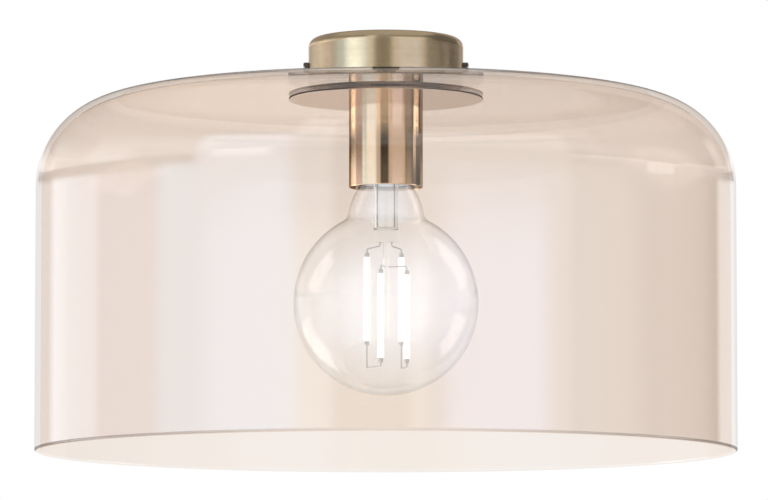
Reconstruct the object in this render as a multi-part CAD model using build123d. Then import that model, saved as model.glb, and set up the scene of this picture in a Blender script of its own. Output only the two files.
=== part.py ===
from build123d import *

import os
from math import asin, atan2, cos, hypot, pi, radians, sin, sqrt

# A glass ceiling light: a drum-shaped glass shade clamped between a round brass canopy and a
# brass disc, with a lampholder cup below the disc and a clear globe bulb screwed into it.
# Sizes are in millimetres. The origin is the middle of the ceiling face and +Z is up, so the
# light hangs to -Z. X runs along the ceiling strap. Heights are called levels below.

# Glass shade
SHADE_DIA = 360.0
SHADE_HEIGHT = 187.5
SHADE_WALL = 3.0
SHOULDER_R = 46.0
DOME_R = 1660.0

# Canopy
CANOPY_DIA = 80.0
CANOPY_HEIGHT = 25.5
CANOPY_WALL = 1.0
CANOPY_EDGE_R = 5.0
CANOPY_FOOT_R = 0.6
CANOPY_LIP = 1.5

# Ceiling strap
STRAP_WIDTH = 18.0
STRAP_SHEET = 2.0
STRAP_BEND_R = 1.0
STRAP_GAP = 1.2
EAR_SPARE = 5.0
CABLE_HOLE_DIA = 10.0
SLOT_SPACING = 40.0
SLOT_LENGTH = 10.0
SLOT_WIDTH = 4.5

# Side screws of the canopy
SIDE_SCREW_DIA = 4.0
SIDE_SCREW_RISE = 10.5
SIDE_SCREW_REACH = 3.0
SIDE_HEAD_DIA = 5.2
SIDE_HEAD_HEIGHT = 2.6
SIDE_HEAD_EDGE = 0.8
DRIVER_SLOT_WIDTH = 0.8
DRIVER_SLOT_DEPTH = 0.8

# Earth screw, its washer and the tag on the earth lead
EARTH_SCREW_DIA = 4.0
EARTH_HEAD_DIA = 7.0
EARTH_HEAD_HEIGHT = 2.4
EARTH_SCREW_SHORT = 0.3
EARTH_WASHER_DIA = 8.0
EARTH_WASHER_THICK = 0.6
EARTH_TAG_DIA = 8.0
EARTH_TAG_THICK = 0.8
EARTH_BARREL_WALL = 0.5
EARTH_BARREL_LENGTH = 6.0

# Threaded tube, its nuts and its washer
TUBE_DIA = 10.0
TUBE_BORE = 8.0
TUBE_SPARE = 2.0
NUT_ACROSS = 14.0
NUT_HEIGHT = 4.0
CLAMP_NUT_HEIGHT = 2.5
LOCK_WASHER_DIA = 18.0
LOCK_WASHER_THICK = 0.8
TOOTH_COUNT = 12
TOOTH_SHARE = 0.4

# Gaskets, bush and clamp disc
GASKET_DIA = 60.0
GASKET_THICK = 1.0
BUSH_WALL = 1.6
DISC_DIA = 100.0
DISC_THICK = 1.2
DISC_EDGE_R = 0.4

# Lampholder cup and the holder in it
CUP_LENGTH = 45.4
CUP_WALL = 1.0
CUP_EDGE_R = 0.4
HOLDER_GAP = 0.6
SKIRT_WALL = 3.35
SKIRT_RECESS = 1.5
HOLDER_CAP_PLATE = 1.5
HOLDER_LAP_WALL = 1.0
HOLDER_LAP = 3.0
SKIRT_LIP = 0.8
BLOCK_GRIP = 0.4
BOSS_DIA = 15.0
BOSS_HEIGHT = 5.0
INSERT_WALL = 1.4
CHAMBER_HEIGHT = 4.8
BLOCK_THICK = 2.5
POCKET_DIA = 19.2
POCKET_DEPTH = 1.0

# Terminal posts on the contact block
POST_WIDTH = 8.0
POST_HEIGHT = 6.0
POST_GAP = 0.6
POST_WIRE_LEVEL = 2.5
STUD_DIA = 3.0
POST_SCREW_DIA = 2.9
POST_HEAD_DIA = 5.0
POST_HEAD_HEIGHT = 1.4

# Sprung centre contact
LEAF_WIDTH = 5.0
LEAF_SHEET = 0.4
LEAF_ROOT_X = -7.5
LEAF_ROOT_HALF = 1.5
LEAF_BEND_X = -2.5
LEAF_END_X = 3.5
LEAF_REACH = 1.5
LEAF_GAP = 0.3

# Terminal block in the canopy
TERMINAL_PITCH = 9.0
TERMINAL_DEPTH = 16.0
TERMINAL_HEIGHT = 14.0
TERMINAL_Y = 21.0
SLEEVE_DIA = 5.0
SLEEVE_LENGTH = 14.0
SLEEVE_BORE = 3.0
CLAMP_SCREW_DIA = 2.4
CLAMP_HEAD_DIA = 3.8
CLAMP_HEAD_HEIGHT = 1.5
CLAMP_HEAD_RISE = 0.5
CLAMP_SCREW_SPACING = 9.0
FIXING_DIA = 2.9
FIXING_HEAD_DIA = 5.2
FIXING_HEAD_HEIGHT = 1.8

# Leads
LEAD_DIA = 2.0
LEAD_GRIP = 5.0
LEAD_ARCH = 6.0
LEAD_TURN_Y = 9.5
LEAD_ARCH_Y = 5.5
LEAD_BEND_R = 2.2

# Screw thread of bulb and holder, a rounded E27 thread
THREAD_PITCH = 3.629
THREAD_MEAN_DIA = 25.1
THREAD_WAVE = 0.55
THREAD_GAP = 0.3
SHELL_SHEET = 0.35
SHELL_FLANGE = 0.5
SHELL_MOUTH_DIA = 20.0

# Bulb
BULB_DIA = 95.0
BULB_LENGTH = 135.0
BULB_GLASS = 0.8
NECK_DIA = 39.6
NECK_BULGE = 1.4
NECK_FILLET = 1.5
CAP_SHEET = 0.3
CAP_TOP_SHEET = 0.5
CAP_HOLE_DIA = 19.0
CAP_THREAD_LENGTH = 18.0
CAP_RIM_LENGTH = 4.0
CAP_RIM_STEP = 0.2
TIP_GAP = 0.2
TIP_DIA = 9.5
TIP_HEIGHT = 2.0
INSULATOR_RISE = 2.1
INSULATOR_FLANGE = 2.0
STEM_DIA = 12.8
STEM_LENGTH = 27.0
STEM_GLASS = 0.8
PINCH_HEIGHT = 6.6
PINCH_THICK = 5.0
PINCH_EDGE_R = 1.5
ROD_DIA = 2.6
ROD_LENGTH = 50.0
BOARD_THICK = 1.2
BOARD_DROP = 8.0
CAPACITOR_DIA = 6.4
CAPACITOR_HEIGHT = 7.0
CAPACITOR_X = 5.0
FILAMENT_DIA = 3.2
FILAMENT_LENGTH = 47.8
FILAMENT_RING_DIA = 22.0
FILAMENT_DROP = 5.0
FILAMENT_STAGGER = 9.8
UPPER_FILAMENT_ANGLES = (153.0, 44.0)
LOWER_FILAMENT_ANGLES = (256.0, 347.0)
WIRE_DIA = 0.7
WIRE_BEND_R = 0.9
WIRE_TAIL = 2.0
PINCH_WIRE_X = 3.0
STEM_WIRE_X = 4.4

# Clearances
THREAD_FIT = 0.05
SEAT_FIT = 0.1
HOLE_FIT = 0.25
LOOSE_FIT = 0.3

# Levels from the ceiling down
canopy_low = -CANOPY_HEIGHT
floor_top = canopy_low + CANOPY_WALL
strap_low = -STRAP_SHEET
nut_low = floor_top + LOCK_WASHER_THICK
tube_top = nut_low + NUT_HEIGHT + TUBE_SPARE
side_screw_z = canopy_low + SIDE_SCREW_RISE
apex = canopy_low - GASKET_THICK
rim = apex - SHADE_HEIGHT
dome_centre = apex - DOME_R
gasket_top = dome_centre + sqrt((DOME_R - SHADE_WALL) ** 2 - (GASKET_DIA / 2) ** 2)
disc_top = gasket_top - GASKET_THICK
cup_top = disc_top - DISC_THICK
cup_plate_low = cup_top - CUP_WALL
cup_low = cup_top - CUP_LENGTH
holder_top = cup_plate_low - CLAMP_NUT_HEIGHT
boss_low = holder_top - BOSS_HEIGHT
block_top = boss_low - CHAMBER_HEIGHT
block_low = block_top - BLOCK_THICK
pocket_top = block_low + POCKET_DEPTH
leaf_low = block_low - LEAF_REACH
skirt_low = cup_low + SKIRT_RECESS
tip_top = leaf_low - TIP_GAP
tip_low = tip_top - TIP_HEIGHT
cap_top = tip_low - INSULATOR_RISE
cap_thread_low = cap_top - CAP_THREAD_LENGTH
cap_rim_top = cap_thread_low + CAP_RIM_STEP
cap_rim_low = cap_rim_top - CAP_RIM_LENGTH
shell_low = cap_rim_top + LOOSE_FIT
mouth_top = cap_rim_top - CAP_TOP_SHEET - CAP_RIM_STEP
globe_centre = tip_top - BULB_LENGTH + BULB_DIA / 2
board_top = cap_top - CAP_TOP_SHEET - INSULATOR_FLANGE - BOARD_DROP

# Radii worked out from the bulb's thread outwards, and other shared places
cap_r = THREAD_MEAN_DIA / 2
shell_r = cap_r + THREAD_GAP
cap_inner_r = cap_r - CAP_SHEET - THREAD_WAVE
cap_rim_r = cap_r + THREAD_WAVE + CAP_RIM_STEP
skirt_bore_r = shell_r + SHELL_SHEET + THREAD_WAVE + LOOSE_FIT
holder_r = skirt_bore_r + SKIRT_WALL
cup_r = holder_r + HOLDER_GAP + CUP_WALL
lap_r = holder_r - HOLDER_LAP_WALL
recess_r = lap_r - SEAT_FIT - SKIRT_LIP
block_r = recess_r - SEAT_FIT
holder_cap_bore_r = block_r - BLOCK_GRIP
neck_mouth_r = cap_rim_r - CAP_SHEET - LOOSE_FIT
canopy_r = CANOPY_DIA / 2
mouth_r = canopy_r - CANOPY_EDGE_R - CANOPY_LIP
strap_half = sqrt((mouth_r - STRAP_GAP) ** 2 - (STRAP_WIDTH / 2) ** 2)
tube_hole_r = TUBE_DIA / 2 + HOLE_FIT
bush_r = TUBE_DIA / 2 + LOOSE_FIT + BUSH_WALL
shade_hole_r = bush_r + LOOSE_FIT
lead_r = LEAD_DIA / 2
lead_x = (TUBE_BORE / 2 - lead_r) / 2
post_in = BOSS_DIA / 2 + POST_GAP
post_out = sqrt(holder_cap_bore_r**2 - (POST_WIDTH / 2) ** 2) - POST_GAP
post_x = (post_in + post_out) / 2
post_wire_z = block_top + POST_WIRE_LEVEL
earth_x = (CABLE_HOLE_DIA / 2 + SLOT_SPACING / 2 - SLOT_LENGTH / 2) / 2
earth_washer_low = strap_low - EARTH_WASHER_THICK
earth_tag_low = earth_washer_low - EARTH_TAG_THICK
earth_barrel_r = lead_r + SEAT_FIT + EARTH_BARREL_WALL
earth_barrel_y = EARTH_TAG_DIA / 2 + earth_barrel_r
terminal_z = floor_top + TERMINAL_HEIGHT / 2
terminal_top = floor_top + TERMINAL_HEIGHT
pole_x = [earth_x - TERMINAL_PITCH * step for step in (2, 1, 0)]
terminal_x = pole_x[1]


def spin(*edges):
    """Turns a closed outline in the XZ plane round the Z axis."""
    return revolve(make_face(edges), Axis.Z)


def spin_points(*points):
    """Turns a closed outline of (radius, level) points round the Z axis."""
    return spin(Polyline(*[(r, 0, z) for r, z in points], close=True))


def ring(outer_r, inner_r, low, high):
    """A flat ring or a plain tube between two levels."""
    return spin_points((inner_r, low), (outer_r, low), (outer_r, high), (inner_r, high))


def rod(radius, low, high, x=0.0, y=0.0):
    """An upright round bar between two levels."""
    return Pos(x, y, low) * Cylinder(radius, high - low, align=(Align.CENTER, Align.CENTER, Align.MIN))


def side_rod(radius, start, end, y=0.0, z=0.0):
    """A round bar along X from start to end."""
    return Pos((start + end) / 2, y, z) * Rot(0, 90, 0) * Cylinder(radius, abs(end - start))


def depth_rod(radius, start, end, x=0.0, z=0.0):
    """A round bar along Y from start to end."""
    return Pos(x, (start + end) / 2, z) * Rot(90, 0, 0) * Cylinder(radius, abs(end - start))


def block(x_low, x_high, y_low, y_high, z_low, z_high):
    """A box between its six faces."""
    middle = Pos((x_low + x_high) / 2, (y_low + y_high) / 2, (z_low + z_high) / 2)
    return middle * Box(x_high - x_low, y_high - y_low, z_high - z_low)


def line(start, end):
    """A straight edge between two (radius, level) points."""
    return Line((start[0], 0, start[1]), (end[0], 0, end[1]))


def on_circle(centre, radius, angle):
    """The (radius, level) point of a circle at an angle from straight up, in degrees."""
    return centre[0] + radius * sin(radians(angle)), centre[1] + radius * cos(radians(angle))


def arc(centre, radius, start, end):
    """An arc round a (radius, level) centre, with angles from straight up in degrees."""
    spots = [on_circle(centre, radius, angle) for angle in (start, (start + end) / 2, end)]
    return ThreePointArc(*[(r, 0, z) for r, z in spots])


def outline(*steps):
    """Joins arcs by straight edges, where they don't meet, into a closed outline."""
    edges = []
    for edge, after in zip(steps, steps[1:] + steps[:1]):
        edges.append(edge)
        end, start = edge @ 1, after @ 0
        if (end - start).length > 1e-6:
            edges.append(Line(end, start))
    return spin(*edges)


def hex_nut(height, low):
    """A hex nut on the threaded tube."""
    body = extrude(RegularPolygon(NUT_ACROSS / 2, 6, major_radius=False), height)
    return Pos(0, 0, low) * body - rod(TUBE_DIA / 2 + THREAD_FIT, low, low + height)


def toothed_washer(outer_r, inner_r, low, thick, x=0.0):
    """A lock washer with teeth round its outer edge, as wide as the gaps between them."""
    gap = Box(2 * TOOTH_SHARE * (outer_r - inner_r), pi * outer_r / TOOTH_COUNT, thick)
    middle = Pos(x, 0, low + thick / 2)
    gaps = [middle * spot * gap for spot in PolarLocations(outer_r, TOOTH_COUNT)]
    return Pos(x, 0, 0) * ring(outer_r, inner_r, low, low + thick) - gaps


def thread_core(radius, low, high):
    """A rod with the rounded thread: a circle carried up a helix that bulb and holder share."""
    turn = 360 * (low - cap_thread_low) / THREAD_PITCH
    helix = Helix(THREAD_PITCH, high - low, THREAD_WAVE, center=(0, 0, low)).rotate(Axis.Z, turn)
    section = Plane(helix @ 0) * Circle(radius)
    return Solid.sweep(section.face(), helix, mode=Vector(0, 0, 1))


def bent_wire(name, radius, points, bends):
    """A round wire along straight runs joined by tangent arcs."""
    path = FilletPolyline(*points, radius=bends)
    solid = sweep(Plane(path @ 0, z_dir=path % 0) * Circle(radius), path)
    share = solid.volume / (pi * radius**2 * path.length)
    print(name, "bend radii", [round(bend, 2) for bend in bends], "volume over section", round(share, 4))
    return solid


def ceiling_bracket():
    """The steel strap that is screwed to the ceiling, with a bent ear at each end."""
    ear_low = side_screw_z - EAR_SPARE
    inside = strap_half - STRAP_SHEET
    outer = [(-strap_half, ear_low), (-strap_half, 0), (strap_half, 0), (strap_half, ear_low)]
    inner = [(inside, ear_low), (inside, strap_low), (-inside, strap_low), (-inside, ear_low)]
    face = make_face(Polyline(*outer, *inner, close=True)).face()
    top = face.vertices().filter_by_position(Axis.Y, 0, 0)
    face = face.fillet_2d(STRAP_BEND_R + STRAP_SHEET, top)
    bends = face.vertices().filter_by_position(Axis.Y, strap_low, strap_low)
    bends = [corner for corner in bends if abs(corner.X) > inside - STRAP_BEND_R]
    face = face.fillet_2d(STRAP_BEND_R, bends)
    strap = extrude(Plane.XZ * face, STRAP_WIDTH / 2, both=True)
    strap -= rod(CABLE_HOLE_DIA / 2, strap_low, 0)
    strap -= rod(EARTH_SCREW_DIA / 2, strap_low, 0, earth_x)
    slot = extrude(SlotOverall(SLOT_LENGTH, SLOT_WIDTH), -2 * STRAP_SHEET, both=True)
    for side in (-1, 1):
        strap -= Pos(side * SLOT_SPACING / 2, 0, 0) * slot
    return strap - side_rod(SIDE_SCREW_DIA / 2, -strap_half, strap_half, z=side_screw_z)


def canopy():
    """The round brass cover with its rolled ceiling edge and its floor."""
    edge = (canopy_r - CANOPY_EDGE_R, -CANOPY_EDGE_R)
    foot_r = CANOPY_FOOT_R + CANOPY_WALL
    foot = (canopy_r - foot_r, canopy_low + foot_r)
    shell = outline(
        line((mouth_r, 0), (edge[0], 0)),
        arc(edge, CANOPY_EDGE_R, 0, 90),
        arc(foot, foot_r, 90, 180),
        line((tube_hole_r, canopy_low), (tube_hole_r, floor_top)),
        arc(foot, CANOPY_FOOT_R, 180, 90),
        arc(edge, CANOPY_EDGE_R - CANOPY_WALL, 90, 0),
        line((mouth_r, -CANOPY_WALL), (mouth_r, 0)),
    )
    shell -= side_rod(SIDE_SCREW_DIA / 2 + HOLE_FIT, -canopy_r, canopy_r, z=side_screw_z)
    for x in fixing_x():
        shell -= rod(FIXING_DIA / 2 + THREAD_FIT, canopy_low, floor_top, x, TERMINAL_Y)
    return shell


def canopy_screws():
    """The two slotted screws that hold the canopy to the ears of the strap."""
    start = strap_half - STRAP_SHEET - SIDE_SCREW_REACH
    end = canopy_r + SIDE_HEAD_HEIGHT
    head = side_rod(SIDE_HEAD_DIA / 2, canopy_r, end)
    rounded = head.edges().filter_by(GeomType.CIRCLE).sort_by(Axis.X)[-1]
    head = fillet(rounded, SIDE_HEAD_EDGE)
    slot_half = DRIVER_SLOT_WIDTH / 2
    head -= block(end - DRIVER_SLOT_DEPTH, end, -SIDE_HEAD_DIA, SIDE_HEAD_DIA, -slot_half, slot_half)
    screw = Pos(0, 0, side_screw_z) * (head + side_rod(SIDE_SCREW_DIA / 2 - THREAD_FIT, start, canopy_r))
    return Compound([screw.solid(), screw.rotate(Axis.Z, 180).solid()])


def earth_screw():
    """The screw that clamps the earth tag against the strap."""
    head_top = earth_tag_low
    screw = rod(EARTH_HEAD_DIA / 2, head_top - EARTH_HEAD_HEIGHT, head_top, earth_x)
    return screw + rod(EARTH_SCREW_DIA / 2 - THREAD_FIT, head_top, -EARTH_SCREW_SHORT, earth_x)


def earth_washer():
    """The toothed washer between the strap and the earth tag."""
    hole_r = EARTH_SCREW_DIA / 2 + SEAT_FIT
    return toothed_washer(EARTH_WASHER_DIA / 2, hole_r, earth_washer_low, EARTH_WASHER_THICK, earth_x)


def earth_tag():
    """The ring tag under the earth screw, with a barrel bent down for the lead."""
    tag = rod(EARTH_TAG_DIA / 2, earth_tag_low, earth_washer_low)
    tag += block(-earth_barrel_r, earth_barrel_r, 0, earth_barrel_y, earth_tag_low, earth_washer_low)
    barrel_low = earth_tag_low - EARTH_BARREL_LENGTH
    tag += rod(earth_barrel_r, barrel_low, earth_washer_low, 0, earth_barrel_y)
    tag -= rod(lead_r + SEAT_FIT, barrel_low, earth_tag_low, 0, earth_barrel_y)
    tag -= rod(EARTH_SCREW_DIA / 2 + SEAT_FIT, earth_tag_low, earth_washer_low)
    return Pos(earth_x, 0, 0) * tag


def threaded_tube():
    """The threaded tube that carries glass, disc, cup and holder, and the leads inside it."""
    return ring(TUBE_DIA / 2, TUBE_BORE / 2, boss_low, tube_top)


def glass_shade():
    """The drum-shaped shade: slightly domed top, round shoulder, upright wall, rounded rim."""
    wall_r = SHADE_DIA / 2
    shoulder_x = wall_r - SHOULDER_R
    rise = sqrt((DOME_R - SHOULDER_R) ** 2 - shoulder_x**2)
    dome = (0, dome_centre)
    shoulder = (shoulder_x, dome_centre + rise)
    meet = atan2(shoulder_x, rise) * 180 / pi
    inner_dome_r = DOME_R - SHADE_WALL
    hole_out = asin(shade_hole_r / DOME_R) * 180 / pi
    hole_in = asin(shade_hole_r / inner_dome_r) * 180 / pi
    return outline(
        arc(dome, DOME_R, hole_out, meet),
        arc(shoulder, SHOULDER_R, meet, 90),
        arc((wall_r - SHADE_WALL / 2, rim + SHADE_WALL / 2), SHADE_WALL / 2, 90, 270),
        arc(shoulder, SHOULDER_R - SHADE_WALL, 90, meet),
        arc(dome, inner_dome_r, meet, hole_in),
    )


def clamp_disc():
    """The polished disc that clamps the glass from below."""
    disc = ring(DISC_DIA / 2, tube_hole_r, cup_top, disc_top)
    rims = disc.edges().filter_by(GeomType.CIRCLE).group_by(SortBy.RADIUS)[-1]
    return fillet(rims, DISC_EDGE_R)


def holder_cup():
    """The polished cup round the lampholder, open at the bottom."""
    cup = ring(cup_r, tube_hole_r, cup_low, cup_top) - rod(cup_r - CUP_WALL, cup_low, cup_plate_low)
    mouth = cup.edges().filter_by(GeomType.CIRCLE).group_by(Axis.Z)[0]
    return fillet(mouth, CUP_EDGE_R)


def holder_cap():
    """The top of the lampholder, with a boss for the threaded insert and a lap for the skirt."""
    cap = ring(holder_r, lap_r, block_top - HOLDER_LAP, holder_top)
    cap += ring(holder_r, holder_cap_bore_r, block_top, holder_top)
    cap += ring(holder_r, insert_r(), holder_top - HOLDER_CAP_PLATE, holder_top)
    return cap + ring(BOSS_DIA / 2, insert_r(), boss_low, holder_top)


def insert_r():
    """The radius of the hole that the threaded insert is moulded into."""
    return TUBE_DIA / 2 + THREAD_FIT + INSERT_WALL


def holder_insert():
    """The threaded brass insert in the boss of the holder cap."""
    return ring(insert_r() - THREAD_FIT, TUBE_DIA / 2 + THREAD_FIT, boss_low, holder_top)


def holder_skirt():
    """The skirt of the lampholder, with a recess for the contact block at its top."""
    skirt = ring(holder_r, skirt_bore_r, skirt_low, block_top - HOLDER_LAP)
    skirt += ring(lap_r - SEAT_FIT, skirt_bore_r, skirt_low, block_top)
    return skirt - rod(recess_r, block_low, block_top)


def contact_block():
    """The ceramic disc that carries the contacts, with a pocket for the sprung leaf."""
    disc = rod(block_r, block_low, block_top) - rod(POCKET_DIA / 2, block_low, pocket_top)
    for x, _ in studs():
        disc -= rod(STUD_DIA / 2 + SEAT_FIT, block_low, block_top, x)
    return disc


def studs():
    """The place and foot level of the two studs: one over the leaf, one over the shell's flange."""
    flange_x = (SHELL_MOUTH_DIA / 2 + skirt_bore_r) / 2
    return [(LEAF_ROOT_X, pocket_top), (flange_x, block_low)]


def holder_terminals():
    """Two brass posts that take the leads, each with a stud through the contact block."""
    posts = []
    for side, (stud_x, stud_low) in zip((-1, 1), studs()):
        ends = sorted((side * post_in, side * post_out))
        post = block(*ends, -POST_WIDTH / 2, POST_WIDTH / 2, block_top, block_top + POST_HEIGHT)
        foot_ends = sorted((side * post_x, stud_x - side * STUD_DIA / 2))
        if foot_ends[1] - foot_ends[0] > abs(post_x - post_in):
            post += block(*foot_ends, -STUD_DIA / 2, STUD_DIA / 2, block_top, block_top + SHELL_FLANGE)
        post += rod(STUD_DIA / 2, stud_low, block_top + SHELL_FLANGE, stud_x)
        post -= side_rod(lead_r + SEAT_FIT, side * post_in, side * post_x + side * lead_r * 2, z=post_wire_z)
        post -= rod(POST_SCREW_DIA / 2 + THREAD_FIT, post_wire_z, block_top + POST_HEIGHT, side * post_x)
        posts.append(post.solid())
    return Compound(posts)


def holder_screws():
    """The two screws that clamp the leads in the posts."""
    top = block_top + POST_HEIGHT
    screws = []
    for side in (-1, 1):
        screw = rod(POST_SCREW_DIA / 2, post_wire_z + lead_r + THREAD_FIT, top, side * post_x)
        screw += rod(POST_HEAD_DIA / 2, top, top + POST_HEAD_HEIGHT, side * post_x)
        screws.append(screw.solid())
    return Compound(screws)


def screw_shell():
    """The threaded shell of the lampholder, with a flange against the contact block."""
    flange_low = block_low - SHELL_FLANGE
    high = block_low - SHELL_FLANGE / 2
    shell = thread_core(shell_r + SHELL_SHEET, shell_low, high) - thread_core(shell_r, shell_low, high)
    return shell + ring(skirt_bore_r - SEAT_FIT, SHELL_MOUTH_DIA / 2, flange_low, block_low)


def centre_contact():
    """The sprung leaf that touches the tip of the bulb."""
    root = pocket_top - LEAF_GAP
    end = leaf_low + LEAF_SHEET
    top = [
        (LEAF_ROOT_X - LEAF_ROOT_HALF, root),
        (LEAF_ROOT_X + LEAF_ROOT_HALF, root),
        (LEAF_BEND_X, end),
        (LEAF_END_X, end),
    ]
    low = [(x, z - LEAF_SHEET) for x, z in reversed(top)]
    face = make_face(Polyline(*top, *low, close=True))
    return extrude(Plane.XZ * face, LEAF_WIDTH / 2, both=True)


def fixing_x():
    """The places along X of the two screws that fix the terminal block."""
    return terminal_x - TERMINAL_PITCH / 2, terminal_x + TERMINAL_PITCH / 2


def clamp_screw_y():
    """The places along Y of the two clamp screws of each pole."""
    return TERMINAL_Y - CLAMP_SCREW_SPACING / 2, TERMINAL_Y + CLAMP_SCREW_SPACING / 2


def terminal_block():
    """The plastic body of the three-pole terminal block on the canopy floor."""
    half_length = 1.5 * TERMINAL_PITCH
    y_low = TERMINAL_Y - TERMINAL_DEPTH / 2
    y_high = TERMINAL_Y + TERMINAL_DEPTH / 2
    body = block(terminal_x - half_length, terminal_x + half_length, y_low, y_high, floor_top, terminal_top)
    for x in pole_x:
        body -= depth_rod(SLEEVE_DIA / 2 + SEAT_FIT, y_low, y_high, x, terminal_z)
        for y in clamp_screw_y():
            body -= rod(CLAMP_HEAD_DIA / 2 + HOLE_FIT, terminal_z, terminal_top, x, y)
    for x in fixing_x():
        body -= rod(FIXING_DIA / 2 + HOLE_FIT, floor_top, terminal_top, x, TERMINAL_Y)
    return body


def terminal_sleeves():
    """The three brass sleeves of the terminal block."""
    sleeves = []
    for x in pole_x:
        ends = (TERMINAL_Y - SLEEVE_LENGTH / 2, TERMINAL_Y + SLEEVE_LENGTH / 2)
        sleeve = depth_rod(SLEEVE_DIA / 2, *ends, x, terminal_z)
        sleeve -= depth_rod(SLEEVE_BORE / 2, *ends, x, terminal_z)
        for y in clamp_screw_y():
            sleeve -= rod(CLAMP_SCREW_DIA / 2 + THREAD_FIT, terminal_z, terminal_top, x, y)
        sleeves.append(sleeve.solid())
    return Compound(sleeves)


def terminal_screws():
    """The six clamp screws of the terminal block."""
    head_low = terminal_z + SLEEVE_DIA / 2 + CLAMP_HEAD_RISE
    screws = []
    for x in pole_x:
        for y in clamp_screw_y():
            screw = rod(CLAMP_SCREW_DIA / 2, terminal_z + lead_r + THREAD_FIT, head_low, x, y)
            screw += rod(CLAMP_HEAD_DIA / 2, head_low, head_low + CLAMP_HEAD_HEIGHT, x, y)
            screws.append(screw.solid())
    return Compound(screws)


def terminal_fixings():
    """The two screws that hold the terminal block to the canopy floor."""
    screws = []
    for x in fixing_x():
        screw = rod(FIXING_DIA / 2, canopy_low, terminal_top, x, TERMINAL_Y)
        screw += rod(FIXING_HEAD_DIA / 2, terminal_top, terminal_top + FIXING_HEAD_HEIGHT, x, TERMINAL_Y)
        screws.append(screw.solid())
    return Compound(screws)


def supply_lead(name, pole, side):
    """A lead from the terminal block over the top of the tube, through it and to a holder post."""
    front = TERMINAL_Y - TERMINAL_DEPTH / 2
    arch = tube_top + LEAD_ARCH
    points = [
        (pole, front + LEAD_GRIP, terminal_z),
        (pole, LEAD_TURN_Y, terminal_z),
        ((pole + side * lead_x) / 2, LEAD_ARCH_Y, arch),
        (side * lead_x, 0, arch),
        (side * lead_x, 0, post_wire_z),
        (side * (post_x + lead_r), 0, post_wire_z),
    ]
    return bent_wire(name, lead_r, points, [LEAD_BEND_R] * 4)


def earth_lead():
    """The lead from the earth pole of the terminal block up into the barrel of the tag."""
    front = TERMINAL_Y - TERMINAL_DEPTH / 2
    points = [
        (earth_x, front + LEAD_GRIP, terminal_z),
        (earth_x, earth_barrel_y, terminal_z),
        (earth_x, earth_barrel_y, earth_tag_low),
    ]
    return bent_wire("earth_lead", lead_r, points, [LEAD_BEND_R])


def bulb_outline(inset, top):
    """The globe and neck of the bulb, drawn in by inset, from a top level down."""
    globe_r = BULB_DIA / 2 - inset
    neck_r = NECK_DIA / 2 - inset
    mouth = (neck_mouth_r - inset, cap_rim_low)
    meet = asin(neck_r / globe_r) * 180 / pi
    joint = on_circle((0, globe_centre), globe_r, meet)
    run = hypot(joint[0] - mouth[0], joint[1] - mouth[1])
    out = ((mouth[1] - joint[1]) / run, (joint[0] - mouth[0]) / run)
    bulge = [(a + b) / 2 + NECK_BULGE * n for a, b, n in zip(mouth, joint, out)]
    neck = ThreePointArc(*[(r, 0, z) for r, z in (mouth, bulge, joint)])
    globe = arc((0, globe_centre), globe_r, meet, 180)
    axis = line((0, globe_centre - globe_r), (0, top))
    across = line((0, top), (mouth[0], top))
    face = make_face([neck, globe, axis, across, line((mouth[0], top), mouth)]).face()
    corner = face.vertices().sort_by_distance(Vector(joint[0], 0, joint[1]))[0]
    return revolve(face.fillet_2d(NECK_FILLET + inset, [corner]), Axis.Z)


def bulb_glass():
    """The thin clear envelope of the bulb, open where it sits in the cap."""
    return bulb_outline(0, mouth_top) - bulb_outline(BULB_GLASS, mouth_top + LOOSE_FIT)


def bulb_cap():
    """The threaded cap of the bulb, with a plain rim round the neck."""
    cap = thread_core(cap_r, cap_thread_low, cap_top)
    cap -= thread_core(cap_r - CAP_SHEET, cap_thread_low, cap_top - CAP_TOP_SHEET)
    cap -= rod(CAP_HOLE_DIA / 2, cap_thread_low, cap_top)
    rim = ring(cap_rim_r, cap_inner_r - LOOSE_FIT, cap_rim_top - CAP_TOP_SHEET, cap_rim_top)
    rim += ring(cap_rim_r, cap_rim_r - CAP_SHEET, cap_rim_low, cap_rim_top)
    return cap + rim


def bulb_insulator():
    """The black insulator between the cap and the tip, held by a flange inside the cap."""
    plate_low = cap_top - CAP_TOP_SHEET
    waist = CAP_HOLE_DIA / 2 - SEAT_FIT
    return spin_points(
        (WIRE_DIA, tip_low),
        (TIP_DIA / 2, tip_low),
        (waist, cap_top),
        (waist, plate_low),
        (cap_inner_r - LOOSE_FIT, plate_low),
        (cap_inner_r - LOOSE_FIT, plate_low - INSULATOR_FLANGE),
        (WIRE_DIA, plate_low - INSULATOR_FLANGE),
    )


def bulb_tip():
    """The centre contact of the bulb, a low round button."""
    button = rod(TIP_DIA / 2, tip_low, tip_top)
    return fillet(button.edges().group_by(Axis.Z)[-1], TIP_HEIGHT / 2)


def bulb_driver():
    """The driver board in the cap, with its capacitor."""
    board = rod(cap_inner_r - LOOSE_FIT, board_top - BOARD_THICK, board_top)
    board -= rod(WIRE_DIA, board_top - BOARD_THICK, board_top)
    return board + rod(CAPACITOR_DIA / 2, board_top, board_top + CAPACITOR_HEIGHT, CAPACITOR_X)


def stem_levels():
    """The levels of the stem: end of its flare, top of its pinch, foot of its pinch."""
    flare_r = neck_mouth_r - BULB_GLASS - SEAT_FIT
    flare_low = mouth_top - LOOSE_FIT - STEM_GLASS - (flare_r - STEM_DIA / 2)
    foot = flare_low - STEM_LENGTH
    return flare_r, flare_low, foot + PINCH_HEIGHT, foot


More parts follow.
